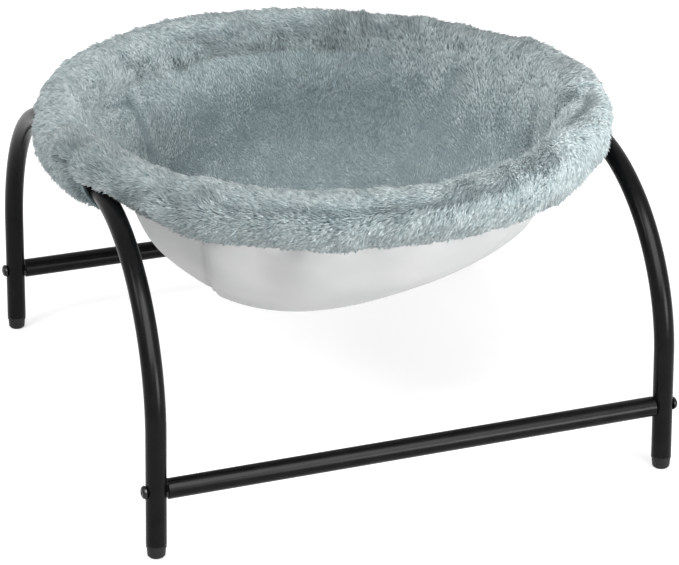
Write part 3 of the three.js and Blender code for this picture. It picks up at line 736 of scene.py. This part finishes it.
def rim_sections(drops, tucks, leg_shares):
    """Mid-line of the rim at each angle, with its normals, as (angle, step) grids of out and up."""
    inner = np.array(INNER_LEG_SHARES) * (RIM_INNER, RIM_INNER_DROP)
    crown = np.array(CROWN_SHARES) * (RIM_REACH, RIM_RISE)
    fixed = np.concatenate([inner, crown])
    legs = np.array(leg_shares)
    out = RIM_REACH - legs[None, :, 0] * (RIM_REACH + tucks[:, None])
    up = -legs[None, :, 1] * (drops[:, None] - HEM_LIFT)
    points = np.concatenate([np.broadcast_to(fixed, (len(drops), *fixed.shape)), np.stack([out, up], -1)], 1)
    mid = spline(points, np.linspace(0, 1, RIM_STEPS))
    along = unit(np.gradient(mid, axis=1))
    normal = np.stack([-along[..., 1], along[..., 0]], -1)
    return mid, normal


def place_round_ring(flat, middle, offsets, flare):
    """Points in space from a grid of out and up. Flare widens a piece towards its hem."""
    radius = RING_R + flat[..., 0]
    fallen = np.clip(-flat[..., 1] / FLAP_DROP, 0, 1) ** FLARE_POWER
    angles = middle + offsets * (1 + flare * fallen)
    return np.stack([radius * np.cos(angles), radius * np.sin(angles), RING_Z + flat[..., 1]], -1)


def rounding(share, from_end):
    """Share of the full thickness, which is rounded off at the hems and at both ends of a piece."""
    hems = np.clip(np.abs(2 * share - 1) - (1 - HEM_ROUND), 0, 1) / HEM_ROUND
    inside, outside = END_ROUND
    radius = inside + (outside - inside) * smoothstep((share - END_ROUND_FROM) / END_ROUND_FADE)
    ends = 1 - np.minimum(from_end / radius, 1)
    return np.sqrt(np.clip(1 - ends**2, 0, 1)) * np.sqrt(np.clip(1 - hems**2, 0, 1))


def rim_puff(degrees, share, rough):
    """How far the plush puffs out, with its creases. Rough is about where it lies, for the noise."""
    puff = CREST_PUFF * look_up(CREST_PUFF_SHARES, degrees) * np.sin(math.pi * share)
    sunk = smoothstep((CREST_SINK_END - share) / CREST_SINK_FADE)
    puff -= CREST_SINK * look_up(CREST_SINK_SHARES, degrees) * sunk
    puff -= creases(RIM_CREASES, degrees, share, RING_R, RIM_LENGTH)
    for seed, wavelength, height in RIM_NOISE:
        puff += height * Waves(seed, wavelength).value(rough)
    return np.maximum(puff, -DEEPEST_SINK)


def rim_wear_and_shade(degrees, share, from_end):
    """How worn and shaded the pile is: wear and painted shade in creases and beside the slits, and shorter,
    darker pile along the hem.
    """
    wear_and_shade = creases(RIM_CREASES, degrees, share, RING_R, RIM_LENGTH) / WORN_AND_SHADED_CREASE
    wear_and_shade += HEM_SHORT_AND_DARK * smoothstep((share - HEM_SHORT_AND_DARK_FROM) / HEM_SHORT_AND_DARK_FADE)
    beside = 1 - smoothstep(from_end / SLIT_WEAR_AND_SHADE_WIDTH)
    wear_and_shade += SLIT_WEAR_AND_SHADE * beside * smoothstep((share - SLIT_WEAR_AND_SHADE_FROM) / SLIT_WEAR_AND_SHADE_FADE)
    return np.clip(wear_and_shade, 0, 1)


def rim_piece(name, middle, seed, half, hem, leg_shares, flare, rows, pile_parts):
    """One sewn piece of the rim, and its pile. Half is half the angle that it takes up."""
    offsets = np.linspace(-half, half, rows)
    share = np.linspace(0, 1, RIM_STEPS)
    degrees = np.degrees(middle + offsets)[:, None]
    from_end = (half - np.abs(offsets))[:, None] * RING_R
    mid, normal = rim_sections(*hem(offsets), leg_shares)
    wider = SLIT / half * (1 - smoothstep((share - SLIT_CLOSED) / SLIT_OPENS))
    spread = offsets[:, None] * (1 + wider)
    puff = rim_puff(degrees, share, place_round_ring(mid, middle, spread, flare))
    thick = rounding(share, from_end)
    outer, inner = (
        place_round_ring(mid + normal * (depth * thick)[..., None], middle, spread, flare)
        for depth in (SKIN_OUT + puff, -SKIN_IN)
    )
    closed = np.concatenate([outer, inner[:, ::-1]], 1)
    body = weld(mesh_object(name, closed.reshape(-1, 3), loop_faces(rows, 2 * RIM_STEPS, False, True)))
    dress_piece(body, "grey_plush", name)
    wear_and_shade = rim_wear_and_shade(degrees, share, from_end)
    cuts = np.linspace(0, rows - 1, pile_parts + 1).astype(int)
    for part, (a, b) in enumerate(zip(cuts[:-1], cuts[1:])):
        grow_pile(f"{name}_pile_{part + 1}", Skin(outer[a:b + 1], wear_and_shade[a:b + 1]), seed + part)


def band_hem(offsets):
    """How far down and in the hem of the front and back bands lies."""
    share = BAND_END_SHARE + (1 - BAND_END_SHARE) * smoothstep((BAND_HALF - np.abs(offsets)) / BAND_RISE)
    drops = share * BAND_DROP + HEM_DIP * look_up(HEM_DIP_SHARES, np.degrees(offsets))
    return drops, (RIM_REACH + BAND_TUCK) * share - RIM_REACH


def flap_hem(offsets):
    """The same for the flaps outside the arches."""
    return np.full(len(offsets), FLAP_DROP), np.full(len(offsets), FLAP_TUCK)


BAND_HALF = math.pi / 2 - CROSSING - SLIT
FLAP_HALF = CROSSING - SLIT
BAND = (BAND_HALF, band_hem, BAND_LEG_SHARES, 0, BAND_ROWS, 2)
FLAP = (FLAP_HALF, flap_hem, FLAP_LEG_SHARES, FLAP_FLARE, FLAP_ROWS, 1)
rim_piece("plush_rim_front", -math.pi / 2, 100, *BAND)
rim_piece("plush_rim_back", math.pi / 2, 110, *BAND)
rim_piece("plush_rim_left", math.pi, 140, *FLAP)
rim_piece("plush_rim_right", 0.0, 150, *FLAP)


# Bowl


def bowl_profile(inset, downs):
    """Radius, height and depth share of the bowl's layer at an inset from its outer face."""
    depth = BOWL_TOP_Z - BOWL_BOTTOM_Z
    face = spline(np.array(BOWL_SHARES) * (BOWL_R, -depth), downs)
    along = unit(np.gradient(face, axis=0))
    out = np.maximum(face[:, 0] + along[:, 1] * inset, 0)
    return out, face[:, 1] - along[:, 0] * inset, -face[:, 1] / depth


def bowl_drift(down):
    """How far the slack bowl hangs to the right, at a depth share."""
    return 4 * down * (1 - down) * BOWL_SLACK - down * (2 * down - 1) * BOWL_SAG


def dart_half(radius, drift, side):
    """Half the angle that a side panel takes up, where the bowl has this radius and drift."""
    tip = DART_TIP - side * drift
    a, b, c = 1 + DART_SLOPE**2, DART_SLOPE * tip, tip**2 - radius**2
    y = (np.sqrt(np.maximum(b * b - a * c, 0)) - b) / a
    return np.where(radius > tip, np.arctan2(np.maximum(y, 0), tip + DART_SLOPE * y), 0)


def bowl_relief(down, angles):
    """How far folds, dents and the belly move the cloth outward."""
    degrees = np.degrees(angles)
    fold = sum(height * bell(wrapped(degrees - middle) / width) for middle, width, height in FOLDS)
    fold = fold * FOLD_DEPTH * np.sin(math.pi * np.clip(down / FOLD_FADE_SHARE, 0, 1))
    dent = sum(deep * bell((degrees - middle) / width) for middle, width, deep in HEM_DENTS)
    dent = dent * bell((down - DENT_PLACE) / DENT_FADE)
    belly = BELLY * np.sin(math.pi * np.clip(down / BELLY_FADE_SHARE, 0, 1))
    return fold - dent + belly * bell(wrapped(degrees - BELLY_DEG) / BELLY_WIDTH_DEG)


def seam_dips(x, y):
    """How far the cloth dips at and beside the seams, at places in plan."""
    x, y = np.abs(x), np.abs(y)
    away = np.abs(x - DART_TIP - DART_SLOPE * y) / math.hypot(1, DART_SLOPE)
    away = np.minimum(np.where(x < DART_TIP, y, away), away)
    beside = bell(away / SEAM_WIDTH)
    step = SEAM_STEP * np.exp(-away / SEAM_STEP_WIDTH)
    swell = SEAM_SWELL * np.exp(-away / SEAM_SWELL_WIDTH) * (1 - beside)
    dip = np.where(x > DART_TIP + DART_SLOPE * y, step, -swell)
    return dip + SEAM_DIP * beside - SEAM_RIDGE * bell(away / SEAM_RIDGE_WIDTH)


def unrolled_creases(rows, down, angles, swell=0):
    """Depth of the bowl's creases at places on it."""
    down = np.broadcast_to(down, angles.shape)
    return creases(rows, wrapped(np.degrees(angles)), down, UNROLLED_R, UNROLLED_FALL, swell)


def bowl_grid(inset, downs, angles, sewn):
    """Points of the bowl's layer: rows go down it, and angles has a row of places for each.

    Sewn layers have the shell's seams and creases, and the others the creases of the padded lining.
    """
    out, up, down = (values[:, None] for values in bowl_profile(inset, downs))
    radius = out + bowl_relief(down, angles) * np.minimum(out / SMOOTH_MIDDLE_R, 1)
    x, y = radius * np.cos(angles) + bowl_drift(down), radius * np.sin(angles)
    points = np.stack([x, y, BOWL_TOP_Z + np.broadcast_to(up, radius.shape)], -1)
    if sewn:
        dip = seam_dips(x, y) + unrolled_creases(SHELL_CREASES, down, angles)
    else:
        dip = -unrolled_creases(LINING_CREASES, down, angles, 1)
    middle = np.array([0, 0, BOWL_TOP_Z])
    return points + unit(middle - points) * dip[..., None]


def slab(name, outer, inner):
    """Closed body between two equal grids of points."""
    rows, columns = outer.shape[:2]
    closed = np.concatenate([outer, inner[::-1]], 0)
    faces = loop_faces(2 * rows, columns, True, False)
    for column in (0, columns - 1):
        for row in range(rows - 1):
            a, b = row * columns + column, (row + 1) * columns + column
            c, d = (2 * rows - 2 - row) * columns + column, (2 * rows - 1 - row) * columns + column
            faces.append((a, b, c, d))
    return weld(mesh_object(name, closed.reshape(-1, 3), faces))


def panel_angles(name, downs):
    """Places round the bowl, for each row of a panel, from one seam to the other."""
    out, _, down = bowl_profile(0, downs)
    left, right = (dart_half(out, bowl_drift(down), side) for side in (-1, 1))
    share = (0.5 - 0.5 * np.cos(np.linspace(0, math.pi, PANEL_COLUMNS)))[None, :]
    first, last = {
        "front": (-math.pi + left, -right),
        "back": (right, math.pi - left),
        "left": (math.pi - left, math.pi + left),
        "right": (-right, right),
    }[name]
    return first[:, None] * (1 - share) + last[:, None] * share


def panel_downs(name):
    """Shares down the bowl's outline for the rows of a panel. The darts end on the way down."""
    downs = np.linspace(0, 1, DOWN_STEPS)
    if name in ("front", "back"):
        return downs[::LONG_PANEL_SKIP]
    angles = panel_angles(name, downs)
    wide = downs[angles[:, -1] - angles[:, 0] > NO_ANGLE]
    return wide[-1] * np.sin(np.linspace(0, math.pi / 2, DART_ROWS))


def shell_panel(name, downs, angles):
    """The outer cloth of a panel, in place of the imported one."""
    panel = slab(f"shell_panel_{name}", *(bowl_grid(inset, downs, angles, True) for inset in (0, SHELL_T)))
    dress_piece(panel, "pale_cloth", f"shell_panel_{name}")


def lining_panel(name, downs, angles):
    """The padded lining of a panel, and its inner face."""
    face = bowl_grid(LINING_INSET + LINING_SKIN, downs, angles, False)
    lining = slab(f"lining_panel_{name}", bowl_grid(LINING_INSET, downs, angles, True), face)
    dress_piece(lining, "grey_plush", f"lining_panel_{name}")
    return face


def collar(edge):
    """Rows of points above the top edge of the lining."""
    radius = np.linalg.norm(edge[:, :2], axis=1, keepdims=True)
    return [np.concatenate([edge[:, :2] * (1 + out / radius), edge[:, 2:] + up], 1) for out, up in COLLAR]


def lining_pile(name, seed, face, downs, angles):
    """Pile on the face of a lining panel and its collar, worn where it is trodden and in creases, and painted
    darker there: painted shade down in the bowl and in the creases.
    """
    wear_and_shade = DEEP_WEAR_AND_SHADE * smoothstep((DEEP_WEAR_AND_SHADE_TOP_Z - face[..., 2]) / DEEP_WEAR_AND_SHADE_DEPTH)
    wear_and_shade += unrolled_creases(LINING_CREASES, downs[:, None], angles) / WORN_AND_SHADED_LINING_CREASE
    wear_and_shade = np.clip(wear_and_shade, 0, 1)
    raised = np.concatenate([collar(face[0]), face])
    wear_and_shade = np.concatenate([wear_and_shade[:1].repeat(len(COLLAR), 0), wear_and_shade])
    skin = Skin(raised[::-1].transpose(1, 0, 2), wear_and_shade[::-1].T)
    grow_pile(f"lining_pile_{name}", skin, seed, LINING_SOFTNESS, LINING_LENGTH, LINING_SPACING)


for lining_seed, panel_name in enumerate(SHELL_CUTS, 200):
    panel_rows = panel_downs(panel_name)
    panel_places = panel_angles(panel_name, panel_rows)
    shell_panel(panel_name, panel_rows, panel_places)
    lining_face = lining_panel(panel_name, panel_rows, panel_places)
    lining_pile(panel_name, lining_seed, lining_face, panel_rows, panel_places)


# Studio


def seen_rays(tree):
    """1 for the rays that the background shows to: from the camera, mirrored or passing through."""
    path = tree.nodes.new("ShaderNodeLightPath")
    total = path.outputs["Is Camera Ray"]
    for kind in ("Is Glossy Ray", "Is Transmission Ray"):
        add = add_node(tree, "ShaderNodeMath", operation="MAXIMUM")
        tree.links.new(total, add.inputs[0])
        tree.links.new(path.outputs[kind], add.inputs[1])
        total = add.outputs["Value"]
    return total


def studio_camera():
    data = bpy.data.cameras.new("camera")
    data.lens = CAMERA_LENS
    data.sensor_width = CAMERA_SENSOR
    data.clip_end = CAMERA_REACH
    camera = bpy.data.objects.new("camera", data)
    camera.location = CAMERA_PLACE
    camera.rotation_euler = (math.radians(90 - CAMERA_DOWN_DEG), 0, math.radians(CAMERA_TURN_DEG))
    bpy.context.scene.collection.objects.link(camera)
    bpy.context.scene.camera = camera


def studio_world():
    world = bpy.data.worlds.new("studio")
    bpy.context.scene.world = world
    world.use_nodes = True
    tree = world.node_tree
    tree.nodes.clear()
    output = tree.nodes.new("ShaderNodeOutputWorld")
    mix = tree.nodes.new("ShaderNodeMixShader")
    tree.links.new(seen_rays(tree), mix.inputs["Fac"])
    for socket, strength in zip(mix.inputs[1:], (WORLD_LIT, WORLD_SEEN)):
        sky = add_node(tree, "ShaderNodeBackground", Color=WHITE, Strength=strength)
        tree.links.new(sky.outputs["Background"], socket)
    tree.links.new(mix.outputs["Shader"], output.inputs["Surface"])


def studio_lamp(name, place, size, power):
    """A soft lamp that is turned to the bowl."""
    lamp = bpy.data.lights.new(name, "AREA")
    lamp.shape = "RECTANGLE"
    lamp.size, lamp.size_y = size
    lamp.energy = power
    light = bpy.data.objects.new(name, lamp)
    light.location = place
    light.rotation_mode = "QUATERNION"
    light.rotation_quaternion = (Vector(LAMP_TARGET) - Vector(place)).to_track_quat("-Z", "Y")
    light.visible_diffuse = name != MIRRORED_ONLY
    bpy.context.scene.collection.objects.link(light)


def studio_floor():
    """A pale floor that glows a little where it is seen, so that it passes into the background."""
    angles = np.arange(FLOOR_SIDES) * 2 * math.pi / FLOOR_SIDES
    ring = [(FLOOR_R * math.cos(a), FLOOR_R * math.sin(a), 0) for a in angles]
    floor = mesh_object("floor", ring, [tuple(range(FLOOR_SIDES))])
    made, tree, shader = material("white_floor", 0.9, specular=0.1)
    shader.inputs["Base Color"].default_value = FLOOR_COLOUR
    glow = add_node(tree, "ShaderNodeEmission", Color=WHITE)
    strength = add_node(tree, "ShaderNodeMath", operation="MULTIPLY")
    strength.inputs[1].default_value = FLOOR_GLOW
    tree.links.new(seen_rays(tree), strength.inputs[0])
    tree.links.new(strength.outputs["Value"], glow.inputs["Strength"])
    both = tree.nodes.new("ShaderNodeAddShader")
    tree.links.new(shader.outputs["BSDF"], both.inputs[0])
    tree.links.new(glow.outputs["Emission"], both.inputs[1])
    tree.links.new(both.outputs["Shader"], tree.nodes["Material Output"].inputs["Surface"])
    floor.data.materials.append(made)


bpy.context.scene.view_settings.view_transform = "Standard"
studio_camera()
studio_world()
for lamp_name, settings in LAMPS.items():
    studio_lamp(lamp_name, *settings)
studio_floor()
